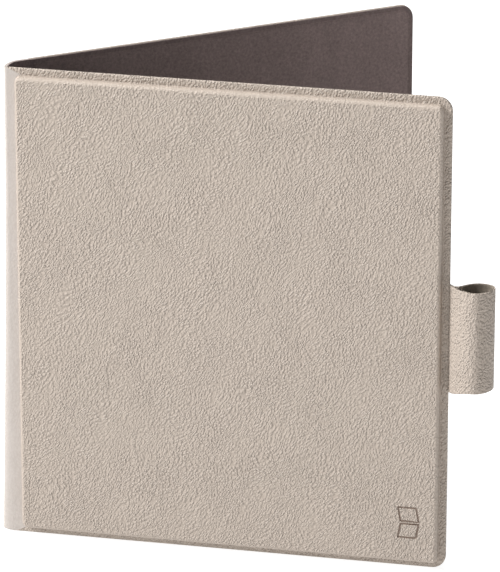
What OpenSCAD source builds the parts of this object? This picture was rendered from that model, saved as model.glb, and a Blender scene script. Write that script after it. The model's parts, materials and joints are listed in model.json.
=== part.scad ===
// A seven-inch e-reader in its standing magnetic folio.
// X runs from the spine to the free edge, Y from the outer face of the holder cover into the fold,
// Z up. The origin is the middle of the holder cover's bottom edge, on its outer rim face.
// The e-reader docks on the inner face of the holder cover with its screen towards the flap.

/* [Folio covers] */
// Height of both covers, along the spine
cover_h = 162; // [160:1:175]
// Width of the holder cover, from its crease edge to its free edge
cover_w = 145; // [144:1:160]
// Corner radius at the free edges of the covers
cover_corner_r = 4.6; // [3:0.1:8]
// Thickness of the thin rim round each cover
rim_t = 1.4; // [1.3:0.1:1.6]
// Thickness of the suede-like lining
lining_t = 0.4; // [0.3:0.05:0.5]
// Thickness of the leather skin over the raised panels
skin_t = 0.7; // [0.5:0.05:0.8]

/* [Raised panels] */
// How far the holder's padded panel stands out of its rim
panel_rise = 2.8; // [2.4:0.1:3.2]
// How far the flap's panel stands out of its rim
flap_rise = 1; // [0.8:0.1:1.4]
// Width of the rim at the free edge, top and bottom
rim_w = 2.5; // [2:0.1:4]
// Width of the rim beside the crease
crease_rim_w = 3.1; // [2.8:0.1:5]
// Corner radius of the raised panels
panel_corner_r = 2.6; // [2:0.1:5]
// Thickness of the foam under the holder's skin
foam_t = 0.8; // [0.5:0.1:1]

/* [Fold] */
// Angle between the covers as the folio stands
stand_angle = 37.2; // [10:0.1:60]
// Distance between the two creases of the spine
spine_w = 9.5; // [9.4:0.1:12]
// Angle of the spine strip, from the holder cover
spine_angle = 59.5; // [59:0.1:90]
// Outward bow of the soft spine strip
spine_bow = 0.4; // [0.1:0.1:0.6]
// Length of the flap, from its crease to its free edge
flap_w = 140; // [139:1:150]

/* [Pen loop] */
// Height of the loop
loop_h = 37; // [25:1:45]
// Height of the loop's lower edge above the bottom of the cover
loop_z = 62.4; // [20:0.2:90]
// Inner radius of the loop
loop_r = 4.6; // [4:0.1:6]
// Distance of the pen's axis from the edge of the cover
loop_reach = 9; // [8:0.1:12]
// Distance of the pen's axis in front of the middle of the rim
loop_drop = 2.6; // [0:0.1:3]

/* [E-reader] */
// Width of the e-reader
reader_w = 137; // [136:1:138]
// Height of the e-reader
reader_h = 156; // [154:1:157]
// Thickness of the e-reader
reader_t = 6.4; // [6.4:0.1:6.5]
// Corner radius of the e-reader
reader_corner_r = 6; // [4:0.5:9]
// Wall of the rear shell
shell_t = 1.1; // [1:0.1:1.3]
// Travel of the page buttons
page_travel = 0.25; // [0.15:0.05:0.25]
// Travel of the power button
power_travel = 0.25; // [0.15:0.05:0.3]

/* [Screen] */
// Width of the e-paper panel
panel_w = 110; // [106:1:110]
// Height of the e-paper panel
panel_h = 146; // [140:1:146]
// Narrow border between the lens and the e-reader's edge
border_w = 2.5; // [2:0.1:3]
// Width of the cover lens
lens_w = 113; // [112:1:114]

/* [Hidden] */
$fn = 64;

eps = 0.01;             // overlap of a cut past a face
edge_x = -cover_w / 2;  // crease edge of the holder cover
free_x = cover_w / 2;   // free edge of the holder cover
mid_rim = rim_t / 2;
skin_rim_t = rim_t - lining_t;
holder_gap = 1.3;       // from its crease axis to the holder's rim
flap_gap = 1.8;         // from its crease axis to the flap's rim, room to fold right back

// Creases of the spine, seen from above
holder_crease = [edge_x - holder_gap, mid_rim];
flap_crease = holder_crease + spine_w * [cos(spine_angle), sin(spine_angle)];

// Raised panel of the holder and the pocket behind its skin
panel_x = edge_x + crease_rim_w;
panel_width = cover_w - crease_rim_w - rim_w;
panel_height = cover_h - 2 * rim_w;
pocket_inset = 0.8;
pocket_w = panel_width - 2 * pocket_inset;
pocket_h = panel_height - 2 * pocket_inset;
pocket_r = panel_corner_r - pocket_inset;
board_y = skin_t - panel_rise + foam_t;
magnet_t = 1.5;
magnet_w = 4;
magnet_l = 20;
slip = 0.05;            // easy fit between a piece and its recess

// Raised panel of the flap, in the flap's own plane
flap_panel_x = flap_gap + 2;
flap_panel_w = flap_w - flap_panel_x - rim_w;
flap_board_t = skin_rim_t + flap_rise - skin_t;
closure_t = 1;
wake_r = 3;

// Strap of the pen loop, seen from above
loop_centre = [free_x + loop_reach, mid_rim - loop_drop];
strap_t = 0.6;
loop_lining_t = 0.4;
tab_l = 3.2;             // end of the strap glued into the cover
tab_t = 0.3;
hollow_tip = 2.2;       // from the cover's edge to where the two layers meet
lining_tip = 0.8;       // further still to where the linings meet

// The e-reader, docked on the holder's lining
reader_x = free_x - 3 - reader_w;
reader_y = rim_t + 0.1;
reader_z = (cover_h - reader_h) / 2 - 0.8;
shell_floor = 0.9;
split_d = 4.8;          // depth at which the rear shell meets the front frame
mid_frame_t = 0.5;
panel_t = 0.6;
guide_t = 0.3;
touch_t = 0.15;
lens_t = 0.45;
lens_corner_r = 3;
screen_u = border_w + 0.5;
screen_v = (reader_h - panel_h) / 2 + 0.5;

// Docking magnets at both long edges, centred at these heights
dock_u = [9, reader_w - 9];
dock_v = [36, 78, 120];

// Boss positions, away from the magnets and the battery
boss_r = 1.7;
boss_u = [4.4, reader_w - 4.4];
boss_v = [9, 99, reader_h - 9];
screw_r = 0.65;
screw_head_r = 1.3;
screw_head_t = 0.3;
boss_floor = shell_floor + 0.3;

// Main board and what stands on it
board_u = 78;
board_v = 14;
board_w = 50;
board_l = 106;
board_d = 1.6;
board_t = 0.8;
board_top = board_d + board_t;
connector_t = 1.4;
can_u = board_u + 4;
can_v = board_v + 48;
battery_u = 14;
battery_v = 24;
battery_w = 58;
battery_l = 100;
battery_t = 2.2;
usb_u = 110;
usb_w = 8.94;
usb_t = 3.16;
usb_l = 7.3;
usb_d = 1.05;
usb_wall = 0.3;
usb_clearance = 0.3;
mic_u = usb_u + 9.2;
mic_w = 3.5;
mic_t = 1;
speaker_u = 11;
speaker_l = 9;

// Buttons
page_u = reader_w - 10.5;
page_w = 7;
page_l = 34;
page_corner_r = 1.5;
page_v = [42, 80];      // lower ends of the two page buttons
page_proud = 0.1;
button_gap = 0.15;
lip_w = 0.9;
lip_t = 0.25;
lip_room = 0.8;
flex_w = 10;
flex_l = 102;
flex_v = 27;
flex_t = 0.1;
dome_t = 0.1;
power_u = 100;
power_w = 10;
power_h = 1.8;
power_d = 2.0;
power_proud = 0.3;
power_lip_h = 0.6;
power_lip_v = reader_h - shell_t - 0.1 - power_lip_h;
power_switch_h = 2.3;

leather = [0.75, 0.69, 0.63];
suede = [0.36, 0.32, 0.31];
board_grey = [0.55, 0.54, 0.52];
foam_grey = [0.3, 0.3, 0.3];
magnet_grey = [0.72, 0.72, 0.74];
shell_black = [0.12, 0.12, 0.13];
chip_black = [0.08, 0.08, 0.09];
circuit_green = [0.1, 0.35, 0.25];
flex_amber = [0.75, 0.45, 0.12];
steel = [0.7, 0.71, 0.73];

// ---- Outlines ----

// Rectangle from the origin with all corners rounded
module rounded_rect(w, h, r) {
    translate([r, 0])
        square([w - 2 * r, h]);
    translate([0, r])
        square([w, h - 2 * r]);
    for (x = [r, w - r], y = [r, h - r])
        translate([x, y])
            circle(r);
}

// Rectangle from the origin with only its far corners rounded, for a cover that ends in a crease
module cover_rect(w, h, r) {
    square([w - r, h]);
    translate([0, r])
        square([w, h - 2 * r]);
    for (y = [r, h - r])
        translate([w - r, y])
            circle(r);
}

// Slot with round ends, centred
module slot(w, h) {
    square([w - h, h], center = true);
    for (side = [-1, 1])
        translate([side * (w - h) / 2, 0])
            circle(h / 2);
}

// Stands an outline up in the XZ plane, from depth y through thickness t
module upright(x, y, z, t) {
    translate([x, y + t, z])
        rotate([90, 0, 0])
            linear_extrude(t)
                children();
}

// Places a piece drawn in the flap's own plane: x from the crease, y outwards
module on_flap() {
    translate([flap_crease.x, flap_crease.y, 0])
        rotate([0, 0, stand_angle])
            children();
}

// Places a piece drawn in the e-reader's own plane: u across, d from the back, v up
module on_reader() {
    translate([reader_x, reader_y, reader_z])
        children();
}

module block(u, d, v, size) {
    translate([u, d, v])
        cube(size);
}

// ---- Holder cover ----

module magnet_bar(x, y, z, grow = 0) {
    translate([x - magnet_w / 2 - grow, y - grow, z - magnet_l / 2 - grow])
        cube([magnet_w + 2 * grow, magnet_t + 2 * grow, magnet_l + 2 * grow]);
}

module dock_places(y, grow = 0) {
    for (u = dock_u, v = dock_v)
        magnet_bar(reader_x + u, y, reader_z + v, grow);
}

module holder_skin() {
    color(leather)
    difference() {
        union() {
            upright(edge_x, 0, 0, skin_rim_t)
                cover_rect(cover_w, cover_h, cover_corner_r);
            upright(panel_x, -panel_rise, rim_w, panel_rise + eps)
                rounded_rect(panel_width, panel_height, panel_corner_r);
        }
        upright(panel_x + pocket_inset, skin_t - panel_rise, rim_w + pocket_inset, panel_rise + rim_t)
            rounded_rect(pocket_w, pocket_h, pocket_r);
        translate([free_x - tab_l, skin_rim_t - tab_t, loop_z])
            cube([tab_l + eps, tab_t + eps, loop_h]);
    }
}

module holder_foam() {
    color(foam_grey)
        upright(panel_x + pocket_inset, skin_t - panel_rise, rim_w + pocket_inset, foam_t)
            rounded_rect(pocket_w, pocket_h, pocket_r);
}

module holder_board() {
    color(board_grey)
    difference() {
        upright(panel_x + pocket_inset, board_y, rim_w + pocket_inset, skin_rim_t - board_y)
            rounded_rect(pocket_w, pocket_h, pocket_r);
        dock_places(skin_rim_t - magnet_t, slip);
    }
}

module holder_magnets() {
    color(magnet_grey)
        dock_places(skin_rim_t - magnet_t);
}

module holder_lining() {
    color(suede)
        upright(edge_x, skin_rim_t, 0, lining_t)
            cover_rect(cover_w, cover_h, cover_corner_r);
}

// ---- Pen loop ----

// Teardrop round the pen: a circle drawn out to a tip some way from the cover's edge
module teardrop(r, tip_reach, tip_half) {
    root = [free_x, mid_rim];
    towards = (loop_centre - root) / norm(loop_centre - root);
    across = [-towards.y, towards.x];
    tip = root + tip_reach * towards;
    reach = norm(loop_centre - tip);
    lean = atan2(-towards.y, -towards.x);
    open = acos((r - tip_half) / reach);
    touch = [for (side = [-1, 1]) loop_centre + r * [cos(lean + side * open), sin(lean + side * open)]];
    translate(loop_centre)
        circle(r);
    polygon([loop_centre, touch[0], tip + tip_half * across, tip - tip_half * across, touch[1]]);
}

module pen_loop_strap() {
    hollow_r = loop_r + loop_lining_t;
    color(leather)
        translate([0, 0, loop_z])
            linear_extrude(loop_h)
                difference() {
                    union() {
                        intersection() {
                            teardrop(hollow_r + strap_t, 0, mid_rim);
                            translate([free_x, -cover_h / 2])
                                square(cover_h);
                        }
                        translate([free_x - tab_l, skin_rim_t - tab_t])
                            square([tab_l + 1, tab_t]);
                    }
                    teardrop(hollow_r, hollow_tip, eps);
                }
}

module pen_loop_lining() {
    color(suede)
        translate([0, 0, loop_z])
            linear_extrude(loop_h)
                difference() {
                    teardrop(loop_r + loop_lining_t, hollow_tip, eps);
                    teardrop(loop_r, hollow_tip + lining_tip, eps);
                }
}

// ---- Spine ----

// Bowed strip between the two creases, from one offset of its middle line to another
module bowed_strip(inner, outer) {
    half = spine_w / 2;
    bend_r = (half * half + spine_bow * spine_bow) / (2 * spine_bow);
    middle = (holder_crease + flap_crease) / 2;
    inward = [sin(spine_angle), -cos(spine_angle)];
    along = [cos(spine_angle), sin(spine_angle)];
    centre = middle + (bend_r - spine_bow) * inward;
    far = 3;
    intersection() {
        difference() {
            translate(centre)
                circle(bend_r + outer, $fn = 128);
            translate(centre)
                circle(bend_r + inner, $fn = 128);
        }
        polygon([
            centre,
            centre + far * (holder_crease - centre),
            centre + far * (holder_crease - centre) - far * bend_r * inward,
            centre + far * (flap_crease - centre) - far * bend_r * inward,
            centre + far * (flap_crease - centre)
        ]);
    }
}

module spine_skin() {
    color(leather)
        linear_extrude(cover_h) {
            bowed_strip(lining_t - mid_rim, mid_rim);
            for (crease = [holder_crease, flap_crease])
                translate(crease)
                    circle(mid_rim - lining_t);
        }
}

module spine_lining() {
    color(suede)
        linear_extrude(cover_h)
            difference() {
                bowed_strip(-mid_rim, lining_t - mid_rim);
                for (crease = [holder_crease, flap_crease])
                    translate(crease)
                        circle(mid_rim - lining_t);
            }
}

// ---- Flap ----

module flap_skin() {
    color(leather)
        on_flap()
            difference() {
                union() {
                    upright(flap_gap, lining_t - mid_rim, 0, skin_rim_t)
                        cover_rect(flap_w - flap_gap, cover_h, cover_corner_r);
                    upright(flap_panel_x, mid_rim - eps, rim_w, flap_rise + eps)
                        rounded_rect(flap_panel_w, panel_height, panel_corner_r);
                }
                upright(flap_panel_x + pocket_inset, -rim_t, rim_w + pocket_inset,
                        rim_t + mid_rim + flap_rise - skin_t)
                    rounded_rect(flap_panel_w - 2 * pocket_inset, pocket_h, pocket_r);
            }
}

// Closing magnets along the free edge and the small one that wakes the screen
module closure_places(grow = 0) {
    from_end = 30;
    for (z = [from_end, cover_h / 2, cover_h - from_end])
        translate([flap_w - 9 - grow, lining_t - mid_rim - grow, z - magnet_l / 2 - grow])
            cube([magnet_w + 2 * grow, closure_t + 2 * grow, magnet_l + 2 * grow]);
    translate([reader_w - 14, lining_t - mid_rim - grow, cover_h - 18])
        rotate([-90, 0, 0])
            cylinder(r = wake_r + grow, h = closure_t + 2 * grow);
}

module flap_board() {
    color(board_grey)
        on_flap()
            difference() {
                upright(flap_panel_x + pocket_inset, lining_t - mid_rim, rim_w + pocket_inset, flap_board_t)
                    rounded_rect(flap_panel_w - 2 * pocket_inset, pocket_h, pocket_r);
                closure_places(slip);
            }
}

module flap_magnets() {
    color(magnet_grey)
        on_flap()
            closure_places();
}

module flap_lining() {
    color(suede)
        on_flap()
            upright(flap_gap, -mid_rim, 0, lining_t)
                cover_rect(flap_w - flap_gap, cover_h, cover_corner_r);
}

// ---- E-reader housing ----

module boss_places() {
    for (u = boss_u, v = boss_v)
        translate([u, 0, v])
            rotate([-90, 0, 0])
                children();
}

// Row of short slots through the end wall in front of a speaker
module grille(v) {
    pitch = 2.4;
    for (step = [0:5])
        block(speaker_u + 2 + step * pitch, 2, v, [pitch / 2, 1, 2 * shell_t]);
}

// A piece cut through the end wall, from above the socket end
module end_slot(u, v, d, w, t) {
    block(u - button_gap, d - button_gap, v, [w + 2 * button_gap, t + 2 * button_gap, 3 * shell_t]);
}

module reader_rear_shell() {
    color(shell_black)
        on_reader()
            difference() {
                union() {
                    difference() {
                        upright(0, 0, 0, split_d)
                            rounded_rect(reader_w, reader_h, reader_corner_r);
                        upright(shell_t, shell_floor, shell_t, split_d)
                            rounded_rect(reader_w - 2 * shell_t, reader_h - 2 * shell_t,
                                         reader_corner_r - shell_t);
                    }
                    boss_places()
                        translate([0, 0, shell_floor - eps])
                            cylinder(r = boss_r, h = split_d - mid_frame_t - shell_floor + eps);
                }
                boss_places()
                    translate([0, 0, boss_floor])
                        cylinder(r = screw_r + slip, h = split_d);
                translate([usb_u, usb_d + usb_t / 2, -eps])
                    linear_extrude(2 * shell_t)
                        slot(usb_w + usb_clearance, usb_t + usb_clearance - 0.1);
                grille(-shell_t / 2);
                grille(reader_h - 1.5 * shell_t);
                translate([mic_u + mic_w / 2, board_top + mic_t / 2, -eps])
                    cylinder(r = 0.4, h = 2 * shell_t);
                end_slot(power_u, reader_h - 2 * shell_t, power_d, power_w, power_h);
            }
}

module reader_mid_frame() {
    frame_gap = 0.3;
    inset = shell_t + frame_gap;
    flex_room = 3.6;        // left free at the ends for the folded display flex
    corner_r = 3;
    color(board_grey)
        on_reader()
            difference() {
                upright(inset, split_d - mid_frame_t, flex_room, mid_frame_t)
                    rounded_rect(reader_w - 2 * inset, reader_h - 2 * flex_room, corner_r);
                boss_places()
                    translate([0, 0, split_d - 2 * mid_frame_t])
                        cylinder(r = screw_r + 2 * slip, h = split_d);
                boss_places()
                    translate([0, 0, split_d - screw_head_t])
                        cylinder(r = screw_head_r + 2 * slip, h = split_d);
            }
}

// A page button's outline, grown all round, from depth d through thickness t
module page_plate(v, grow, d, t) {
    upright(page_u - page_w / 2 - grow, d, v - grow, t)
        rounded_rect(page_w + 2 * grow, page_l + 2 * grow, page_corner_r + grow);
}

module reader_front_frame() {
    color(shell_black)
        on_reader()
            difference() {
                upright(0, split_d, 0, reader_t - split_d)
                    rounded_rect(reader_w, reader_h, reader_corner_r);
                upright(border_w, split_d - eps, border_w, reader_t)
                    rounded_rect(lens_w, reader_h - 2 * border_w, lens_corner_r);
                for (v = page_v) {
                    page_plate(v, button_gap, split_d - eps, reader_t);
                    page_plate(v, lip_w + button_gap, split_d - eps, lip_room + eps);
                }
                block(page_u - flex_w / 2 - 0.5, split_d - eps, flex_v - 0.5,
                      [flex_w + 1, flex_t + button_gap, flex_l + 1]);
            }
}

module reader_screws() {
    color(steel)
        on_reader()
            boss_places() {
                translate([0, 0, boss_floor + 0.3])
                    cylinder(r = screw_r, h = split_d - screw_head_t - boss_floor - 0.3 + eps);
                translate([0, 0, split_d - screw_head_t])
                    cylinder(r = screw_head_r, h = screw_head_t);
            }
}

// ---- Screen stack, from the back ----

module screen_sheet(d, t) {
    on_reader()
        upright(screen_u, d, screen_v, t)
            rounded_rect(panel_w, panel_h, 1);
}

module reader_epaper_panel() {
    color([0.82, 0.82, 0.79])
        screen_sheet(split_d, panel_t);
}

module reader_light_guide() {
    color([0.9, 0.93, 0.95])
        screen_sheet(split_d + panel_t, guide_t);
}

module reader_touch_film() {
    color([0.8, 0.85, 0.85])
        screen_sheet(split_d + panel_t + guide_t, touch_t);
}

module reader_cover_lens() {
    color([0.55, 0.56, 0.55])
        on_reader()
            upright(border_w + slip, split_d + panel_t + guide_t + touch_t, border_w + slip, lens_t)
                rounded_rect(lens_w - 2 * slip, reader_h - 2 * border_w - 2 * slip, lens_corner_r - slip);
}

module reader_light_strip() {
    strip_w = 1.6;
    color([0.95, 0.93, 0.8])
        on_reader()
            block(screen_u + 2, split_d + panel_t, screen_v - strip_w - 0.1, [panel_w - 4, guide_t, strip_w]);
}

module reader_display_flex() {
    ribbon_t = 0.15;
    ribbon_w = 38;
    ribbon_u = 60;
    ribbon_l = 19;
    fold_v = 3;
    back_d = board_top + connector_t;
    glass_d = split_d + 0.2;
    color(flex_amber)
        on_reader() {
            block(ribbon_u, glass_d, fold_v, [ribbon_w, ribbon_t, screen_v - fold_v]);
            block(ribbon_u, back_d, fold_v, [ribbon_w, glass_d + ribbon_t - back_d, ribbon_t]);
            block(ribbon_u, back_d, fold_v, [ribbon_w, ribbon_t, ribbon_l]);
        }
}

// ---- Electronics ----

module reader_battery() {
    color([0.25, 0.26, 0.28])
        on_reader()
            upright(battery_u, shell_floor + slip, battery_v, battery_t)
                rounded_rect(battery_w, battery_l, 1.5);
}

module reader_battery_lead() {
    color(flex_amber)
        on_reader()
            block(battery_u + battery_w, board_top, 104, [12, 0.3, 7]);
}

module reader_main_board() {
    color(circuit_green)
        on_reader()
            difference() {
                union() {
                    block(board_u, board_d, board_v, [board_w, board_t, board_l]);
                    block(usb_u - 8, board_d, usb_l + 0.3, [22, board_t, board_v - usb_l]);
                }
                dock_room = 0.5;
                for (v = dock_v)
                    block(dock_u[1] - magnet_w / 2 - dock_room, 0, v - magnet_l / 2 - dock_room,
                          [magnet_w + 2 * dock_room + 10, board_top + 1, magnet_l + 2 * dock_room]);
            }
}

module chip(u, v, w, l, t) {
    block(u, board_top, v, [w, t, l]);
}

// Processor, memory and radio under the can, storage and power outside it
module reader_board_chips() {
    color(chip_black)
        on_reader() {
            chip(can_u + 2, can_v + 2, 14, 14, 1);
            chip(can_u + 18, can_v + 4, 9, 12, 0.9);
            chip(can_u + 4, can_v + 22, 11, 10, 0.9);
            chip(board_u + 6, board_v + 20, 12, 12, 1.1);
            chip(board_u + 26, board_v + 22, 6, 6, 0.8);
        }
}

module reader_flex_connector() {
    color([0.85, 0.83, 0.75])
        on_reader()
            block(board_u + 2, board_top, board_v + 2, [17, connector_t, 4]);
}

module reader_shield_can() {
    can_w = 30;
    can_l = 36;
    can_h = 1.35;
    wall = 0.2;
    color(steel)
        on_reader()
            difference() {
                block(can_u, board_top, can_v, [can_w, can_h, can_l]);
                block(can_u + wall, board_top - eps, can_v + wall,
                      [can_w - 2 * wall, can_h - wall + eps, can_l - 2 * wall]);
            }
}

module reader_hall_sensor() {
    color(chip_black)
        on_reader()
            block(board_u + 40, board_top, board_v + 90, [2.9, 1.1, 1.6]);
}

module reader_usb_socket() {
    tongue_w = 6.7;
    tongue_t = 0.7;
    color(steel)
        on_reader()
            translate([usb_u, usb_d + usb_t / 2, 0.3]) {
                linear_extrude(usb_l)
                    difference() {
                        slot(usb_w, usb_t);
                        slot(usb_w - 2 * usb_wall, usb_t - 2 * usb_wall);
                    }
                translate([0, 0, usb_l - 0.8])
                    linear_extrude(0.8)
                        slot(usb_w - usb_wall, usb_t - usb_wall);
                translate([-tongue_w / 2, -tongue_t / 2, 1.2])
                    cube([tongue_w, tongue_t, usb_l - 1.5]);
            }
}

module reader_microphone() {
    color(steel)
        on_reader()
            block(mic_u, board_top, usb_l + 1, [mic_w, mic_t, 2.6]);
}

module reader_speakers() {
    color([0.15, 0.15, 0.16])
        on_reader()
            for (v = [shell_t + 0.8, reader_h - shell_t - 0.8 - speaker_l])
                block(speaker_u, shell_floor + 0.1, v, [18, 2.8, speaker_l]);
}

module reader_antenna() {
    color(flex_amber)
        on_reader()
            block(62, shell_floor, reader_h - shell_t - speaker_l, [28, 0.2, 8]);
}

module reader_dock_magnets() {
    dock_t = 1.2;
    color(magnet_grey)
        on_reader()
            for (u = dock_u, v = dock_v)
                block(u - magnet_w / 2, shell_floor, v - magnet_l / 2, [magnet_w, dock_t, magnet_l]);
}

// ---- Buttons ----

module reader_button_flex() {
    dome_r = 2.2;
    color(flex_amber)
        on_reader() {
            block(page_u - flex_w / 2, split_d, flex_v, [flex_w, flex_t, flex_l]);
            for (v = page_v)
                translate([page_u, split_d + flex_t - eps, v + page_l / 2])
                    rotate([-90, 0, 0])
                        cylinder(r = dome_r, h = dome_t + eps);
        }
}

module reader_power_switch() {
    color(chip_black)
        on_reader()
            block(power_u + power_w / 4, power_d - 0.1, power_lip_v - power_travel - slip - power_switch_h,
                  [power_w / 2, power_h + 0.2, power_switch_h]);
}

module power_button() {
    side = 0.8;
    thick = 0.4;
    color(shell_black)
        on_reader() {
            block(power_u, power_d, power_lip_v, [power_w, power_h, reader_h + power_proud - power_lip_v]);
            block(power_u - side, power_d - thick, power_lip_v,
                  [power_w + 2 * side, power_h + 2 * thick, power_lip_h]);
        }
}

// Cap with rounded ends over a wider lip that keeps it behind the frame
module page_button(v) {
    cap_d = split_d + flex_t + dome_t + page_travel + slip;
    color(shell_black)
        on_reader() {
            page_plate(v, 0, cap_d, reader_t + page_proud - cap_d);
            page_plate(v, lip_w - button_gap, cap_d, lip_t);
        }
}

module page_button_upper() {
    page_button(page_v[1]);
}

module page_button_lower() {
    page_button(page_v[0]);
}

holder_skin();
holder_foam();
holder_board();
holder_magnets();
holder_lining();
pen_loop_strap();
pen_loop_lining();
spine_skin();
spine_lining();
flap_skin();
flap_board();
flap_magnets();
flap_lining();
reader_rear_shell();
reader_mid_frame();
reader_front_frame();
reader_cover_lens();
reader_touch_film();
reader_light_guide();
reader_light_strip();
reader_epaper_panel();
reader_display_flex();
reader_battery();
reader_battery_lead();
reader_main_board();
reader_board_chips();
reader_flex_connector();
reader_shield_can();
reader_hall_sensor();
reader_usb_socket();
reader_microphone();
reader_speakers();
reader_antenna();
reader_dock_magnets();
reader_screws();
reader_button_flex();
reader_power_switch();
power_button();
page_button_upper();
page_button_lower();
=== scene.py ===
import json
import math

import bmesh
import bpy
from mathutils import Matrix, Vector


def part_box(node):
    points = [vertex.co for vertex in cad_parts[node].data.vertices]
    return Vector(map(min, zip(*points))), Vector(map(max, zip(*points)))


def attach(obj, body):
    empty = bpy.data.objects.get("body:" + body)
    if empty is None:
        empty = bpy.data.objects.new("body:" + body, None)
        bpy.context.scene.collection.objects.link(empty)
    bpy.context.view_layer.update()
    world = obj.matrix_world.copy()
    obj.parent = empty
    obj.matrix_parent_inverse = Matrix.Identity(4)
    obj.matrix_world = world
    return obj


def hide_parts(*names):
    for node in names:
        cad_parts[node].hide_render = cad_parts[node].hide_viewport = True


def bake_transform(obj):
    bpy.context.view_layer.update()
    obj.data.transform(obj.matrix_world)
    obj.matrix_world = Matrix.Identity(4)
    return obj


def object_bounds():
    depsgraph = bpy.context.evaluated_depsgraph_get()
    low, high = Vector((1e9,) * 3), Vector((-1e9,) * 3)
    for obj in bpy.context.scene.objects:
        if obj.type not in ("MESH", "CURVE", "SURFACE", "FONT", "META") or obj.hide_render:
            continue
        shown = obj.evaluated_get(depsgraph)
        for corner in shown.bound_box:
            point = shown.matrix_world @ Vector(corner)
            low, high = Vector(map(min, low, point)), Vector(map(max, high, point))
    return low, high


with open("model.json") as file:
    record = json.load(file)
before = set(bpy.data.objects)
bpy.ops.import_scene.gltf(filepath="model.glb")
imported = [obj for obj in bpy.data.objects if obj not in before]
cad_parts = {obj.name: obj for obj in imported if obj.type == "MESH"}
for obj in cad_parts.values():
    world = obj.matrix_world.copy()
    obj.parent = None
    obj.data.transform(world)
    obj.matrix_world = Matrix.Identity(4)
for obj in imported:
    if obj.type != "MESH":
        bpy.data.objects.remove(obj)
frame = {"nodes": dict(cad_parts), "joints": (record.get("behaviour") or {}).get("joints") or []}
cadLow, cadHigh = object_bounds()
print("frame loaded, box", [round(v, 4) for v in (*cadLow, *cadHigh)])

mm = 0.001
scene = bpy.context.scene
joints = {joint["name"]: joint for joint in frame["joints"]}

# camera, floor and light
cameraView = {
    "place": (0.31124, -1.40622, 0.64674),
    "turn": 12.196,  # degrees about Z
    "down": 21.034,  # degrees below the horizon
    "lens": 301.386,
    "sensorWidth": 36,
    "reach": 20,
}

camera = bpy.data.objects.new("studioCamera", bpy.data.cameras.new("studioCamera"))
scene.collection.objects.link(camera)
camera.data.lens = cameraView["lens"]
camera.data.sensor_width = cameraView["sensorWidth"]
camera.data.clip_end = cameraView["reach"]
camera.location = cameraView["place"]
camera.rotation_euler = (math.radians(90 - cameraView["down"]), 0, math.radians(cameraView["turn"]))
scene.camera = camera

studio = {
    "floorWidth": 12.0,
    "floorColour": (0.35, 0.35, 0.35),
    "floorGlow": 0.88,
    "floorRoughness": 0.95,
    "floorGloss": 0.1,
    "floorDrop": 0.2 * mm,  # keeps the floor clear of the folio's lower edge
    "skyStrength": 0.16,
    "key": {"place": (-1.62, -0.68, 1.5), "size": 0.6, "power": 70},
    "front": {"place": (0.2, -2.4, 0.8), "size": 1.2, "power": 6},
    "back": {"place": (-0.35, 0.5, 2.3), "size": 1.2, "power": 30},
}


def addSoftLight(name, settings, target):
    light = bpy.data.lights.new(name, "AREA")
    light.shape = "SQUARE"
    light.size = settings["size"]
    light.energy = settings["power"]
    lamp = bpy.data.objects.new(name, light)
    scene.collection.objects.link(lamp)
    lamp.location = settings["place"]
    lamp.rotation_euler = (target - lamp.location).to_track_quat("-Z", "Y").to_euler()


def buildStudio():
    floorMesh = bmesh.new()
    bmesh.ops.create_grid(floorMesh, x_segments=1, y_segments=1, size=studio["floorWidth"] / 2)
    bmesh.ops.translate(floorMesh, vec=(0, 0, cadLow.z - studio["floorDrop"]), verts=floorMesh.verts)
    mesh = bpy.data.meshes.new("studioFloor")
    floorMesh.to_mesh(mesh)
    floorMesh.free()
    floor = bpy.data.objects.new("studioFloor", mesh)
    scene.collection.objects.link(floor)
    paper = bpy.data.materials.new("studioPaper")
    paper.use_nodes = True
    shader = paper.node_tree.nodes["Principled BSDF"]
    shader.inputs["Base Color"].default_value = (*studio["floorColour"], 1)
    shader.inputs["Roughness"].default_value = studio["floorRoughness"]
    shader.inputs["Specular IOR Level"].default_value = studio["floorGloss"]
    shader.inputs["Emission Color"].default_value = (1, 1, 1, 1)
    shader.inputs["Emission Strength"].default_value = studio["floorGlow"]
    mesh.materials.append(paper)
    sky = bpy.data.worlds.new("studioSky")
    sky.use_nodes = True
    sky.node_tree.nodes["Background"].inputs["Color"].default_value = (1, 1, 1, 1)
    sky.node_tree.nodes["Background"].inputs["Strength"].default_value = studio["skyStrength"]
    scene.world = sky
    middle = (cadLow + cadHigh) / 2
    for name in ("key", "front", "back"):
        addSoftLight(name + "Light", studio[name], middle)
    scene.view_settings.view_transform = "Standard"


buildStudio()
print("studio ready")

# materials
noiseRange = (0.3, 0.7)  # what a noise mostly spans


def startMaterial(name):
    material = bpy.data.materials.new(name)
    material.use_nodes = True
    tree = material.node_tree
    return material, tree, tree.nodes["Principled BSDF"]


def addNode(tree, kind, values=None, **settings):
    node = tree.nodes.new(kind)
    for key, value in settings.items():
        setattr(node, key, value)
    for key, value in (values or {}).items():
        node.inputs[key].default_value = value
    return node


def objectPattern(tree, turn=(0, 0, 0), drawnOut=(1, 1, 1)):
    # object coordinates, drawn out along the axes of a turned frame
    place = addNode(tree, "ShaderNodeTexCoord")
    mapping = addNode(
        tree, "ShaderNodeMapping", {"Rotation": turn, "Scale": drawnOut}, vector_type="TEXTURE"
    )
    tree.links.new(place.outputs["Object"], mapping.inputs["Vector"])
    return mapping.outputs["Vector"]


def noisePattern(tree, vector, scale, detail=3.0, roughness=0.55, distortion=0.0):
    node = addNode(
        tree,
        "ShaderNodeTexNoise",
        {"Scale": scale, "Detail": detail, "Roughness": roughness, "Distortion": distortion},
    )
    tree.links.new(vector, node.inputs["Vector"])
    return node.outputs["Fac"]


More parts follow.
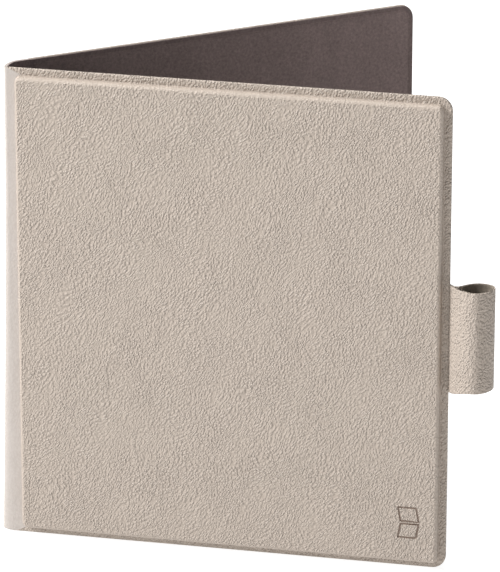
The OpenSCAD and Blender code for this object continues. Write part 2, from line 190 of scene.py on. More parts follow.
def rangeOf(tree, source, low, high, toLow=0.0, toHigh=1.0):
    node = addNode(
        tree,
        "ShaderNodeMapRange",
        {"From Min": low, "From Max": high, "To Min": toLow, "To Max": toHigh},
    )
    tree.links.new(source, node.inputs["Value"])
    return node.outputs["Result"]


def weighted(tree, source, factor, added=None):
    node = addNode(tree, "ShaderNodeMath", {1: factor, 2: 0.0}, operation="MULTIPLY_ADD")
    tree.links.new(source, node.inputs[0])
    if added is not None:
        tree.links.new(added, node.inputs[2])
    return node.outputs[0]


def combined(tree, operation, first, second):
    node = addNode(tree, "ShaderNodeMath", operation=operation)
    tree.links.new(first, node.inputs[0])
    tree.links.new(second, node.inputs[1])
    return node.outputs[0]


def mixedColour(tree, share, first, second):
    node = addNode(tree, "ShaderNodeMix", data_type="RGBA")
    tree.links.new(share, node.inputs["Factor"])
    for name, value in (("A", first), ("B", second)):
        socket = [s for s in node.inputs if s.name == name and s.type == "RGBA"][0]
        if isinstance(value, tuple):
            socket.default_value = (*value, 1)
        else:
            tree.links.new(value, socket)
    return [s for s in node.outputs if s.type == "RGBA"][0]


def addBump(tree, shader, height, strength, distance):
    bump = addNode(tree, "ShaderNodeBump", {"Strength": strength, "Distance": distance})
    tree.links.new(height, bump.inputs["Height"])
    tree.links.new(bump.outputs["Normal"], shader.inputs["Normal"])


def bentPattern(tree, vector, look):
    # the same coordinates, pushed about by a slower noise
    bendNoise = addNode(tree, "ShaderNodeTexNoise", {"Scale": look["bendScale"], "Detail": 2.0})
    tree.links.new(vector, bendNoise.inputs["Vector"])
    centred = addNode(tree, "ShaderNodeVectorMath", {1: (0.5, 0.5, 0.5)}, operation="SUBTRACT")
    tree.links.new(bendNoise.outputs["Color"], centred.inputs[0])
    sized = addNode(tree, "ShaderNodeVectorMath", {"Scale": look["bend"]}, operation="SCALE")
    tree.links.new(centred.outputs["Vector"], sized.inputs[0])
    bent = addNode(tree, "ShaderNodeVectorMath", operation="ADD")
    tree.links.new(vector, bent.inputs[0])
    tree.links.new(sized.outputs["Vector"], bent.inputs[1])
    return bent.outputs["Vector"]


def makeLeather(name, look):
    material, tree, shader = startMaterial(name)
    # flowing pebbles: rounded cells bent by a slower noise and drawn out along a slant
    vector = objectPattern(tree, turn=(0, look["slant"], 0), drawnOut=(1, 1, look["drawnOut"]))
    bent = bentPattern(tree, vector, look)
    cells = addNode(
        tree,
        "ShaderNodeTexVoronoi",
        {
            "Scale": look["cellScale"],
            "Smoothness": look["cellSoftness"],
            "Randomness": look["cellRandomness"],
        },
        feature="SMOOTH_F1",
    )
    tree.links.new(bent, cells.inputs["Vector"])
    pebble = rangeOf(tree, cells.outputs["Distance"], *look["cellRange"], 1.0, 0.0)
    wrinkle = noisePattern(
        tree, bent, look["wrinkleScale"], detail=1.0, roughness=0.5, distortion=0.4
    )
    fine = noisePattern(tree, vector, look["fineScale"], detail=2.0)
    patches = noisePattern(tree, vector, look["patchScale"], detail=2.0)
    # the grain is fainter in some patches, where the hide is tighter
    wrinkles = weighted(tree, wrinkle, look["wrinkleWeight"])
    grain = weighted(tree, pebble, look["pebbleWeight"], wrinkles)
    loose = rangeOf(tree, patches, *look["patchRange"], look["tight"], 1.0)
    height = weighted(tree, fine, look["fineWeight"], combined(tree, "MULTIPLY", grain, loose))
    addBump(tree, shader, height, look["bumpStrength"], look["bumpDistance"])
    # the grain's hollows are darkened in colour: painted shade in the valleys, fainter where the hide is
    # tighter
    paintedShadeDepth = rangeOf(tree, grain, *look["valley"], look["paintedValleyShadeShare"], 0.0)
    valley = combined(tree, "MULTIPLY", paintedShadeDepth, loose)
    patchShare = rangeOf(tree, patches, *look["patchRange"])
    tone = mixedColour(tree, patchShare, look["colour"], look["patchColour"])
    toneWithPaintedShade = mixedColour(tree, valley, tone, look["paintedValleyShade"])
    tree.links.new(toneWithPaintedShade, shader.inputs["Base Color"])
    worn = rangeOf(tree, grain, *look["valley"], look["dull"], look["polish"])
    tree.links.new(worn, shader.inputs["Roughness"])
    shader.inputs["Specular IOR Level"].default_value = look["gloss"]
    return material


def makeSuede(name, look):
    # a nap of fine noise with brushed streaks that run up the sheet
    material, tree, shader = startMaterial(name)
    nap = noisePattern(tree, objectPattern(tree), look["napScale"], detail=4.0, roughness=0.7)
    upwards = objectPattern(tree, drawnOut=(1, 1, look["brushLength"]))
    brushed = noisePattern(
        tree, upwards, look["brushScale"], detail=4.0, roughness=0.6, distortion=0.4
    )
    share = weighted(tree, nap, look["napShare"], weighted(tree, brushed, 1 - look["napShare"]))
    tone = rangeOf(tree, share, *noiseRange)
    tree.links.new(
        mixedColour(tree, tone, look["darkColour"], look["lightColour"]),
        shader.inputs["Base Color"],
    )
    tree.links.new(rangeOf(tree, nap, *look["napRange"], *look["roughness"]), shader.inputs["Roughness"])
    addBump(tree, shader, share, look["bumpStrength"], look["bumpDistance"])
    shader.inputs["Specular IOR Level"].default_value = look["gloss"]
    shader.inputs["Sheen Weight"].default_value = look["sheen"]
    shader.inputs["Sheen Roughness"].default_value = look["sheenRoughness"]
    return material


def makeMoulded(name, look):
    # plastics, metals, boards and foam: a fine texture over slow changes of tone
    material, tree, shader = startMaterial(name)
    vector = objectPattern(tree, drawnOut=look.get("drawnOut", (1, 1, 1)))
    fine = noisePattern(tree, vector, look["fineScale"], detail=2.0)
    slow = noisePattern(tree, vector, look["slowScale"], detail=3.0)
    dark = tuple(part * look.get("depth", 0.86) for part in look["colour"])
    share = weighted(tree, fine, 0.4, weighted(tree, slow, 0.6))
    tone = rangeOf(tree, share, *noiseRange)
    tree.links.new(mixedColour(tree, tone, dark, look["colour"]), shader.inputs["Base Color"])
    worn = rangeOf(tree, share, *noiseRange, *look["roughness"])
    tree.links.new(worn, shader.inputs["Roughness"])
    addBump(tree, shader, fine, look.get("bumpStrength", 0.25), look.get("bumpDistance", 0.00003))
    shader.inputs["Metallic"].default_value = look.get("metal", 0.0)
    shader.inputs["Specular IOR Level"].default_value = look.get("gloss", 0.5)
    return material


def makeStriped(name, look):
    # circuit tracks and conductors: square bands over a plain ground
    material, tree, shader = startMaterial(name)
    vector = objectPattern(tree)
    bands = []
    for direction in look["directions"]:
        wave = addNode(
            tree,
            "ShaderNodeTexWave",
            {"Scale": look["bandScale"], "Distortion": look["bandBend"], "Detail": 1.0},
            wave_type="BANDS",
            bands_direction=direction,
            wave_profile="SIN",
        )
        tree.links.new(vector, wave.inputs["Vector"])
        bands.append(rangeOf(tree, wave.outputs["Fac"], *trackDetail["bandRange"]))
    share = bands[0]
    if len(bands) > 1:
        share = combined(tree, "MAXIMUM", *bands)
    patches = noisePattern(tree, vector, look["patchScale"], detail=2.0)
    covered = rangeOf(tree, patches, *trackDetail["patchRange"])
    tracks = combined(tree, "MULTIPLY", share, covered)
    tree.links.new(mixedColour(tree, tracks, look["ground"], look["track"]), shader.inputs["Base Color"])
    worn = rangeOf(tree, patches, *noiseRange, *trackDetail["roughness"])
    tree.links.new(worn, shader.inputs["Roughness"])
    addBump(tree, shader, tracks, trackDetail["bumpStrength"], trackDetail["bumpDistance"])
    return material


def makeClear(name, look):
    # a clear sheet whose haze varies a little over the surface
    material, tree, shader = startMaterial(name)
    vector = objectPattern(tree)
    haze = noisePattern(tree, vector, look["hazeScale"], detail=3.0)
    tree.links.new(rangeOf(tree, haze, *noiseRange, *look["haze"]), shader.inputs["Roughness"])
    fine = noisePattern(tree, vector, look["fineScale"], detail=2.0)
    addBump(tree, shader, fine, look["bumpStrength"], look["bumpDistance"])
    shader.inputs["Base Color"].default_value = (*look["colour"], 1)
    shader.inputs["Alpha"].default_value = look["cover"]
    shader.inputs["IOR"].default_value = look["ior"]
    return material


leatherLook = {
    "colour": (0.440, 0.376, 0.321),
    "patchColour": (0.456, 0.390, 0.334),
    # painted shade for the grain's hollows
    "paintedValleyShade": (0.235, 0.188, 0.152),
    "paintedValleyShadeShare": 0.16,
    "valley": (0.35, 0.8),
    "slant": 0.5,  # radians from upright, towards the free edge
    "drawnOut": 1.5,
    "bendScale": 60.0,
    "bend": 0.006,
    "cellScale": 1480.0,
    "cellRandomness": 0.85,
    "cellSoftness": 0.35,
    "cellRange": (0.1, 0.75),
    "pebbleWeight": 1.0,
    "wrinkleScale": 1300.0,
    "wrinkleWeight": 0.34,
    "fineScale": 4200.0,
    "fineWeight": 0.05,
    "patchScale": 85.0,
    "patchRange": (0.35, 0.6),
    "tight": 0.62,
    "bumpStrength": 1.0,
    "bumpDistance": 0.0005,
    "polish": 0.42,
    "dull": 0.68,
    "gloss": 0.4,
}
edgeLeatherLook = {
    **leatherLook,
    "colour": (0.440, 0.374, 0.318),
    "patchColour": (0.452, 0.385, 0.329),
    "bumpStrength": 0.4,
    "paintedValleyShadeShare": 0.12,
}
smoothLeatherLook = {
    **leatherLook,
    "colour": (0.492, 0.446, 0.413),
    "patchColour": (0.484, 0.438, 0.404),
    "paintedValleyShadeShare": 0.1,
    "bumpStrength": 0.15,
}
pressedLeatherLook = {
    **leatherLook,
    "colour": (0.270, 0.198, 0.156),
    "patchColour": (0.255, 0.188, 0.148),
    "bumpStrength": 0.2,
    "polish": 0.4,
}
suedeLook = {
    "darkColour": (0.158, 0.117, 0.111),
    "lightColour": (0.305, 0.232, 0.220),
    "napScale": 1150.0,
    "napShare": 0.8,
    "brushScale": 90.0,
    "brushLength": 2.5,
    "napRange": (0.2, 0.8),
    "roughness": (0.85, 1.0),
    "gloss": 0.2,
    "bumpStrength": 0.7,
    "bumpDistance": 0.0003,
    "sheen": 0.12,
    "sheenRoughness": 0.5,
}
suedeBorderLook = {
    **suedeLook,
    "darkColour": (0.122, 0.090, 0.085),
    "lightColour": (0.235, 0.178, 0.169),
}
# the loop's inner lining, in a dark brown that is painted shade of the strap's inside
loopPaintedShadeSuedeLook = {
    **suedeLook,
    "darkColour": (0.150, 0.125, 0.100),
    "lightColour": (0.300, 0.258, 0.212),
}
boardLook = {"colour": (0.42, 0.40, 0.37), "fineScale": 1800.0, "slowScale": 90.0, "roughness": (0.8, 0.95)}
foamLook = {
    "colour": (0.09, 0.09, 0.09),
    "fineScale": 2200.0,
    "slowScale": 300.0,
    "roughness": (0.85, 1.0),
    "bumpStrength": 0.8,
    "bumpDistance": 0.0002,
}
plateLook = {
    "colour": (0.62, 0.62, 0.64),
    "fineScale": 900.0,
    "slowScale": 60.0,
    "roughness": (0.22, 0.34),
    "metal": 1.0,
}
shellLook = {
    "colour": (0.022, 0.022, 0.024),
    "depth": 0.8,
    "fineScale": 5200.0,
    "slowScale": 40.0,
    "roughness": (0.48, 0.6),
    "bumpStrength": 0.5,
    "bumpDistance": 0.00004,
    "gloss": 0.45,
}
frontLook = {**shellLook, "colour": (0.018, 0.018, 0.020), "roughness": (0.38, 0.5)}
keyLook = {**shellLook, "colour": (0.026, 0.026, 0.028), "roughness": (0.34, 0.44)}
maskLook = {**shellLook, "colour": (0.012, 0.012, 0.013), "roughness": (0.5, 0.6), "bumpStrength": 0.1}
trayLook = {**plateLook, "colour": (0.48, 0.49, 0.51), "drawnOut": (6, 1, 1), "roughness": (0.3, 0.42)}
paperLook = {
    "colour": (0.60, 0.60, 0.57),
    "depth": 0.94,
    "fineScale": 6500.0,
    "slowScale": 30.0,
    "roughness": (0.75, 0.85),
    "bumpStrength": 0.15,
}
stripLook = {"colour": (0.75, 0.70, 0.50), "fineScale": 1500.0, "slowScale": 250.0, "roughness": (0.4, 0.5)}
batteryLook = {
    "colour": (0.10, 0.105, 0.12),
    "fineScale": 260.0,
    "slowScale": 60.0,
    "roughness": (0.28, 0.4),
    "bumpStrength": 0.5,
    "bumpDistance": 0.0002,
    "metal": 0.3,
}
chipLook = {
    "colour": (0.014, 0.014, 0.016),
    "fineScale": 3500.0,
    "slowScale": 400.0,
    "roughness": (0.5, 0.65),
}
connectorLook = {
    "colour": (0.62, 0.58, 0.46),
    "fineScale": 1500.0,
    "slowScale": 300.0,
    "roughness": (0.45, 0.6),
}
steelLook = {**plateLook, "colour": (0.55, 0.56, 0.58), "drawnOut": (1, 1, 5), "roughness": (0.25, 0.38)}
trackDetail = {
    "bandRange": (0.62, 0.72),
    "patchRange": (0.42, 0.5),
    "roughness": (0.3, 0.45),
    "bumpStrength": 0.3,
    "bumpDistance": 0.00003,
}
flexLook = {
    "directions": ("X",),
    "bandScale": 260.0,
    "bandBend": 0.0,
    "patchScale": 30.0,
    "ground": (0.42, 0.17, 0.025),
    "track": (0.60, 0.34, 0.10),
}
circuitLook = {
    "directions": ("X", "Z"),
    "bandScale": 190.0,
    "bandBend": 1.5,
    "patchScale": 160.0,
    "ground": (0.012, 0.075, 0.045),
    "track": (0.045, 0.19, 0.10),
}
lensLook = {
    "colour": (0.30, 0.31, 0.31),
    "cover": 0.05,
    "ior": 1.5,
    "haze": (0.14, 0.2),
    "hazeScale": 60.0,
    "fineScale": 5000.0,
    "bumpStrength": 0.08,
    "bumpDistance": 0.00002,
}
filmLook = {**paperLook, "colour": (0.58, 0.58, 0.55), "roughness": (0.6, 0.7), "bumpStrength": 0.08}

leather = makeLeather("grainedLeather", leatherLook)
edgeLeather = makeLeather("stretchedLeather", edgeLeatherLook)
smoothLeather = makeLeather("smoothSpineLeather", smoothLeatherLook)
pressedLeather = makeLeather("pressedLeather", pressedLeatherLook)
suede = makeSuede("suedeLining", suedeLook)
suedeBorder = makeSuede("suedeBorder", suedeBorderLook)
loopPaintedShadeSuede = makeSuede("loopPaintedShadeSuede", loopPaintedShadeSuedeLook)
greyBoard = makeMoulded("greyBoard", boardLook)
paddingFoam = makeMoulded("paddingFoam", foamLook)
magnetPlating = makeMoulded("magnetPlating", plateLook)
darkShell = makeMoulded("darkShell", shellLook)
frontPlastic = makeMoulded("frontPlastic", frontLook)
keyPlastic = makeMoulded("keyPlastic", keyLook)
screenMask = makeMoulded("screenMask", maskLook)
alloyTray = makeMoulded("alloyTray", trayLook)
screenPaper = makeMoulded("screenPaper", paperLook)
lampStrip = makeMoulded("lampStrip", stripLook)
batteryPouch = makeMoulded("batteryPouch", batteryLook)
chipResin = makeMoulded("chipResin", chipLook)
connectorResin = makeMoulded("connectorResin", connectorLook)
brushedSteel = makeMoulded("brushedSteel", steelLook)
flexFilm = makeStriped("flexFilm", flexLook)
circuitBoard = makeStriped("circuitBoard", circuitLook)
coverLens = makeClear("coverLens", lensLook)
frostedFilm = makeMoulded("frostedFilm", filmLook)
print("materials ready")

# mesh helpers
closeEnough = 1e-6
sharpTurn = 1.0  # radians between two faces


def edgesOf(faces):
    return list({edge for face in faces for edge in face.edges})


def softenEdges(bm, edges, width, segments):
    bmesh.ops.bevel(
        bm,
        geom=edges,
        offset=width,
        offset_type="OFFSET",
        segments=segments,
        profile=0.5,
        affect="EDGES",
        material=-1,
        clamp_overlap=True,
    )


def roundedBlock(bm, low, high, radius, segments=10, freeOnly=False, axis=1):
    # a block whose corner edges along one axis are rounded; freeOnly leaves the corners at low x square
    before = set(bm.faces)
    low, high = Vector(low), Vector(high)
    verts = bmesh.ops.create_cube(bm, size=1)["verts"]
    bmesh.ops.scale(bm, vec=high - low, verts=verts)
    bmesh.ops.translate(bm, vec=(low + high) / 2, verts=verts)
    made = [face for face in bm.faces if face not in before]
    corners = []
    for edge in edgesOf(made):
        along = abs((edge.verts[0].co - edge.verts[1].co).normalized()[axis]) > 0.99
        if along and (not freeOnly or edge.verts[0].co.x > (low.x + high.x) / 2):
            corners.append(edge)
    softenEdges(bm, corners, radius, segments)
    return [face for face in bm.faces if face not in before]


def faceTowards(faces, direction):
    return max(faces, key=lambda face: face.normal.dot(Vector(direction)) * face.calc_area())


def sharpEdgesAt(bm, y, keep=None):
    found = []
    for edge in bm.edges:
        level = all(abs(vert.co.y - y) < closeEnough for vert in edge.verts)
        if level and len(edge.link_faces) == 2 and edge.calc_face_angle(0) > sharpTurn:
            if keep is None or keep(edge):
                found.append(edge)
    return found


def alongCrease(edge, x):
    return all(abs(vert.co.x - x) < closeEnough for vert in edge.verts)


def makePiece(name, bm, finish, body=None, replaced=(), sharpAngle=45, evenShading=True):
    # a bmesh becomes an object with its finish, its slot, the nodes it stands for and the body it rides
    bmesh.ops.remove_doubles(bm, verts=bm.verts, dist=closeEnough)
    bmesh.ops.recalc_face_normals(bm, faces=bm.faces)
    mesh = bpy.data.meshes.new(name)
    bm.to_mesh(mesh)
    bm.free()
    mesh.shade_smooth()
    mesh.set_sharp_from_angle(angle=math.radians(sharpAngle))
    mesh.materials.append(finish)
    piece = bpy.data.objects.new(name, mesh)
    scene.collection.objects.link(piece)
    if evenShading:
        normals = piece.modifiers.new("evenShading", "WEIGHTED_NORMAL")
        normals.keep_sharp = True
    if replaced:
        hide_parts(*replaced)
    if body:
        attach(piece, body)
    return piece


def addFinishes(piece, *finishes):
    for finish in finishes:
        piece.data.materials.append(finish)


def cutAway(piece, cutters, sharpAngle=40):
    # cuts every cutter out of the piece and keeps the cutter's finish on the new faces
    tools = []
    for number, (bm, finish) in enumerate(cutters):
        bmesh.ops.recalc_face_normals(bm, faces=bm.faces)
        mesh = bpy.data.meshes.new(piece.name + "Cutter" + str(number))
        bm.to_mesh(mesh)
        bm.free()
        mesh.materials.append(finish)
        tool = bpy.data.objects.new(mesh.name, mesh)
        scene.collection.objects.link(tool)
        cut = piece.modifiers.new("cut" + str(number), "BOOLEAN")
        cut.operation = "DIFFERENCE"
        cut.solver = "MANIFOLD"
        cut.material_mode = "TRANSFER"
        cut.object = tool
        tools.append(tool)
    keep = [modifier for modifier in piece.modifiers if modifier.type != "BOOLEAN"]
    for modifier in keep:
        modifier.show_viewport = False
    bpy.context.view_layer.update()
    graph = bpy.context.evaluated_depsgraph_get()
    finished = bpy.data.meshes.new_from_object(piece.evaluated_get(graph))
    finished.name = piece.name
    for cut in [modifier for modifier in piece.modifiers if modifier.type == "BOOLEAN"]:
        piece.modifiers.remove(cut)
    for modifier in keep:
        modifier.show_viewport = True
    piece.data = finished
    for tool in tools:
        bpy.data.objects.remove(tool)
    finished.shade_smooth()
    finished.set_sharp_from_angle(angle=math.radians(sharpAngle))


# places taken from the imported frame
flapCrease = Vector(joints["flap_fold"]["pos_m"])
standAngle = math.radians(-joints["flap_fold"]["range_deg"][0])
flapPlace = Matrix.Translation(flapCrease) @ Matrix.Rotation(standAngle, 4, "Z")


def boxWithin(node, place):
    # a node's box in the frame of a turned cover
    inverse = place.inverted()
    points = [inverse @ vert.co for vert in frame["nodes"][node].data.vertices]
    low = Vector([min(p[k] for p in points) for k in range(3)])
    high = Vector([max(p[k] for p in points) for k in range(3)])
    return low, high


# covers
coverDetail = {
    "cornerRadius": 4.6 * mm,
    "panelRadius": 1.8 * mm,
    "freeRim": 2.5 * mm,
    "creaseRim": 3.1 * mm,
    "flapCreaseRim": 2.0 * mm,
    "panelSoftness": 1.15 * mm,
    "foot": 0.3 * mm,
    "rimSoftness": 0.35 * mm,
    "liningSoftness": 0.12 * mm,
    "crownCells": 12,
    "holderCrown": 0.12 * mm,
    "flapCrown": 0.1 * mm,
}


def raisedCover(low, high, panelLow, panelHigh, outward, panelTop, crown):
    # thin rim with a padded panel standing out of it, one skin; outward is the side the panel is on
    bm = bmesh.new()
    outer, inner = (low.y, high.y) if outward < 0 else (high.y, low.y)
    rim = roundedBlock(bm, low, high, coverDetail["cornerRadius"], freeOnly=True)
    baseLow = (panelLow.x, min(outer, panelTop), panelLow.z)
    baseHigh = (panelHigh.x, max(outer, panelTop), panelHigh.z)
    panel = roundedBlock(bm, baseLow, baseHigh, coverDetail["panelRadius"])
    opened = [faceTowards(rim, (0, outward, 0)), faceTowards(panel, (0, -outward, 0))]
    bmesh.ops.delete(bm, geom=opened, context="FACES_ONLY")
    openEdges = [edge for edge in bm.edges if edge.is_boundary]
    bmesh.ops.triangle_fill(bm, use_beauty=True, edges=openEdges)
    bmesh.ops.recalc_face_normals(bm, faces=bm.faces)

    def againstPanel(edge):
        heights = [(face.calc_center_median().y - outer) * outward for face in edge.link_faces]
        return max(heights) > closeEnough

    def freeEdge(edge):
        return not alongCrease(edge, low.x)

    softenEdges(bm, sharpEdgesAt(bm, panelTop), coverDetail["panelSoftness"], segments=6)
    softenEdges(bm, sharpEdgesAt(bm, outer, againstPanel), coverDetail["foot"], segments=3)
    rimEdges = sharpEdgesAt(bm, outer, lambda edge: freeEdge(edge) and not againstPanel(edge))
    softenEdges(bm, rimEdges, coverDetail["rimSoftness"], segments=4)
    softenEdges(bm, sharpEdgesAt(bm, inner, freeEdge), coverDetail["liningSoftness"], segments=2)
    # cuts across the panel let it crown a little, as padding does
    cells = coverDetail["crownCells"]
    for normal in ((1, 0, 0), (0, 0, 1)):
        for step in range(1, cells):
            place = panelLow.lerp(panelHigh, step / cells)
            everything = [*bm.verts, *bm.edges, *bm.faces]
            bmesh.ops.bisect_plane(bm, geom=everything, dist=1e-7, plane_co=place, plane_no=normal)
    for vert in bm.verts:
        if abs(vert.co.y - panelTop) < closeEnough:
            across = 2 * (vert.co.x - panelLow.x) / (panelHigh.x - panelLow.x) - 1
            up = 2 * (vert.co.z - panelLow.z) / (panelHigh.z - panelLow.z) - 1
            vert.co.y += outward * crown * (1 - across**4) * (1 - up**4)
    bm.normal_update()
    for face in bm.faces:
        middle = face.calc_center_median()
        raised = (middle.y - outer) * outward > 10 * closeEnough
        # slot 1 is the smooth strip by the crease, slot 2 the leather stretched over the panel's edge
        if middle.x < panelLow.x:
            face.material_index = 1
        elif raised and abs(face.normal.y) < 0.97:
            face.material_index = 2
    return bm


bookMark = {
    "centre": (61.0 * mm, 16.5 * mm),
    "pageWidth": 5.4 * mm,
    "pageHeight": 6.6 * mm,
    "rise": 1.0 * mm,
    "gap": 0.35 * mm,
    "line": 0.62 * mm,
    "corner": 0.5 * mm,
    "depth": 0.22 * mm,
}


def bookMarkCutter(face):
    # outline of an open book, two leaning pages, turned on its side so that it reads up the cover
    bm = bmesh.new()
    height = 4 * bookMark["depth"]  # stands well clear of the leather
    for side in (-1, 1):
        inner = side * bookMark["gap"] / 2
        outer = side * (bookMark["gap"] / 2 + bookMark["pageWidth"])
        corners = [
            (inner, 0),
            (outer, bookMark["rise"]),
            (outer, bookMark["rise"] + bookMark["pageHeight"]),
            (inner, bookMark["pageHeight"]),
        ]
        verts = [bm.verts.new((x, 0, z - bookMark["pageHeight"] / 2)) for x, z in corners]
        bm.faces.new(verts)
        bmesh.ops.bevel(
            bm,
            geom=verts,
            offset=bookMark["corner"],
            offset_type="OFFSET",
            segments=4,
            profile=0.5,
            affect="VERTICES",
            material=-1,
        )
        onThisSide = [face for face in bm.faces if face.calc_center_median().x * side > 0]
        page = max(onThisSide, key=lambda face: face.calc_area())
        bmesh.ops.inset_region(
            bm, faces=[page], thickness=bookMark["line"], use_even_offset=True, use_boundary=True
        )
        bmesh.ops.delete(bm, geom=[page], context="FACES_ONLY")
    raised = bmesh.ops.extrude_face_region(bm, geom=list(bm.faces))
    verts = [item for item in raised["geom"] if isinstance(item, bmesh.types.BMVert)]
    bmesh.ops.translate(bm, vec=(0, height, 0), verts=verts)
    onItsSide = Matrix.Rotation(math.radians(270), 3, "Y")
    bmesh.ops.rotate(bm, cent=(0, 0, 0), matrix=onItsSide, verts=bm.verts)
    x, z = bookMark["centre"]
    bmesh.ops.translate(bm, vec=(x, face + bookMark["depth"] - height, z), verts=bm.verts)
    return bm


holderLow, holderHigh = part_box("holder_skin")
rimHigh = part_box("holder_lining")[0].y
holderRim = Vector((holderLow.x, 0, holderLow.z)), Vector((holderHigh.x, rimHigh, holderHigh.z))
holderPanel = (
    Vector((holderLow.x + coverDetail["creaseRim"], 0, holderLow.z + coverDetail["freeRim"])),
    Vector((holderHigh.x - coverDetail["freeRim"], 0, holderHigh.z - coverDetail["freeRim"])),
)
holderCover = makePiece(
    "holder_cover_leather",
    raisedCover(
        *holderRim,
        *holderPanel,
        outward=-1,
        panelTop=holderLow.y,
        crown=coverDetail["holderCrown"],
    ),
    leather,
    replaced=["holder_skin"],
)
addFinishes(holderCover, smoothLeather, edgeLeather)
cutAway(holderCover, [(bookMarkCutter(holderLow.y), pressedLeather)])
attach(holderCover, "holder_cover")
print("holder cover made")

flapLow, flapHigh = boxWithin("flap_skin", flapPlace)
flapRimOuter = -boxWithin("flap_lining", flapPlace)[0].y
flapRim = flapLow, Vector((flapHigh.x, flapRimOuter, flapHigh.z))
flapPanel = (
    Vector((flapLow.x + coverDetail["flapCreaseRim"], 0, flapLow.z + coverDetail["freeRim"])),
    Vector((flapHigh.x - coverDetail["freeRim"], 0, flapHigh.z - coverDetail["freeRim"])),
)
flapMesh = raisedCover(
    *flapRim, *flapPanel, outward=1, panelTop=flapHigh.y, crown=coverDetail["flapCrown"]
)
bmesh.ops.transform(flapMesh, matrix=flapPlace, verts=flapMesh.verts)
flapCover = makePiece(
    "flap_cover_leather", flapMesh, leather, body="flap", replaced=["flap_skin"]
)
addFinishes(flapCover, smoothLeather, edgeLeather)
print("flap cover made")

# linings
liningDetail = {
    "edge": 0.15 * mm,
    "line": 1.4 * mm,
    "groove": 0.22 * mm,
    "grooveDepth": 0.2 * mm,
    "softness": 0.12 * mm,
}


def suedeSheet(low, high, inward):
    # thin sheet let in from the free edges, with a line pressed in beside its border
    bm = bmesh.new()
    edge = liningDetail["edge"]
    faces = roundedBlock(
        bm,
        (low.x, low.y, low.z + edge),
        (high.x - edge, high.y, high.z - edge),
        coverDetail["cornerRadius"] - edge,
        freeOnly=True,
    )
    shown = faceTowards(faces, (0, inward, 0))
    bmesh.ops.inset_region(bm, faces=[shown], thickness=liningDetail["line"], use_even_offset=True)
    for face in bm.faces:
        face.material_index = int(face is not shown)  # slot 1 is the border
    for thickness, depth in (
        (liningDetail["groove"], -liningDetail["grooveDepth"]),
        (liningDetail["groove"] / 2, 0),
        (liningDetail["groove"], liningDetail["grooveDepth"]),
    ):
        bmesh.ops.inset_region(
            bm, faces=[shown], thickness=thickness, depth=depth, use_even_offset=True
        )
    level = high.y if inward > 0 else low.y
    rimEdges = sharpEdgesAt(bm, level, lambda edge: not alongCrease(edge, low.x))
    softenEdges(bm, rimEdges, liningDetail["softness"], segments=2)
    return bm


holderLining = makePiece(
    "holder_cover_lining",
    suedeSheet(*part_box("holder_lining"), 1),
    suede,
    body="holder_cover",
    replaced=["holder_lining"],
)
flapLiningMesh = suedeSheet(*boxWithin("flap_lining", flapPlace), -1)
bmesh.ops.transform(flapLiningMesh, matrix=flapPlace, verts=flapLiningMesh.verts)
flapLining = makePiece(
    "flap_cover_lining", flapLiningMesh, suede, body="flap", replaced=["flap_lining"]
)
for lining in (holderLining, flapLining):
    addFinishes(lining, suedeBorder)
print("linings made")

# spine
spineShape = {
    "holderPull": (1.9 * mm, 7.0 * mm),  # how far the bend swings out, at the top and at the bottom
    "flapPull": (3.0 * mm, 7.4 * mm),
    "flare": 1.45,
    "straight": 4.2 * mm,  # the part beside the flap that runs straight on from it
    "curveShare": 0.8,
    "join": 0.5,  # share of the strip where its two halves meet
    "leatherThickness": 1.0 * mm,
    "liningThickness": 0.4 * mm,
    "footLift": 0.5 * mm,
    "rimSoftness": 0.15 * mm,
    "acrossCells": 20,
    "upCells": 24,
}
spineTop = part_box("spine_skin")[1].z
flapAlong = Vector((math.cos(standAngle), math.sin(standAngle), 0))
spineStart = Vector((holderLow.x, 0, 0))
spineEnd = flapPlace @ Vector((flapLow.x, flapRimOuter, 0))
bendEnd = spineEnd - spineShape["straight"] * flapAlong


def spinePoint(share, height, inset):
    # a point of the strip: share from the holder to the flap, inset from the outer face
    flare = (1 - height / spineTop) ** spineShape["flare"]
    if share > spineShape["curveShare"]:
        rest = (share - spineShape["curveShare"]) / (1 - spineShape["curveShare"])
        place = bendEnd.lerp(spineEnd, rest)
        along = flapAlong
        lift = 0
    else:
        holderPull, flapPull = (
            top + (bottom - top) * flare
            for top, bottom in (spineShape["holderPull"], spineShape["flapPull"])
        )
        t = share / spineShape["curveShare"]
        points = (
            spineStart,
            spineStart - Vector((holderPull, 0, 0)),
            bendEnd - flapPull * flapAlong,
            bendEnd,
        )
        weights = ((1 - t) ** 3, 3 * (1 - t) ** 2 * t, 3 * (1 - t) * t**2, t**3)
        slopes = (-((1 - t) ** 2), (1 - t) * (1 - 3 * t), t * (2 - 3 * t), t**2)
        place = sum((w * p for w, p in zip(weights, points)), Vector())
        along = sum((s * p for s, p in zip(slopes, points)), Vector()).normalized()
        lift = spineShape["footLift"] * flare**6 * math.sin(math.pi * t)
    inwards = Vector((along.y, -along.x, 0))
    return place + inset * inwards + Vector((0, 0, height + lift))


def spineStrip(firstShare, lastShare, inset, thickness):
    # a grid with a back, each point then set on the bend at its share and height
    bm = bmesh.new()
    bmesh.ops.create_grid(
        bm, x_segments=spineShape["acrossCells"], y_segments=spineShape["upCells"], size=0.5
    )
    made = bmesh.ops.extrude_face_region(bm, geom=list(bm.faces))["geom"]
    backs = {item for item in made if isinstance(item, bmesh.types.BMVert)}
    for vert in bm.verts:
        share = firstShare + (lastShare - firstShare) * (vert.co.x + 0.5)
        height = spineTop * (vert.co.y + 0.5)
        depth = inset + thickness if vert in backs else inset
        vert.co = spinePoint(share, height, depth)
    bmesh.ops.recalc_face_normals(bm, faces=bm.faces)
    rim = []
    for edge in bm.edges:
        along = (edge.verts[0].co - edge.verts[1].co).normalized()
        sharp = len(edge.link_faces) == 2 and edge.calc_face_angle(0) > sharpTurn
        if sharp and abs(along.z) < 0.6:
            rim.append(edge)
    softenEdges(bm, rim, spineShape["rimSoftness"], segments=2)
    return bm
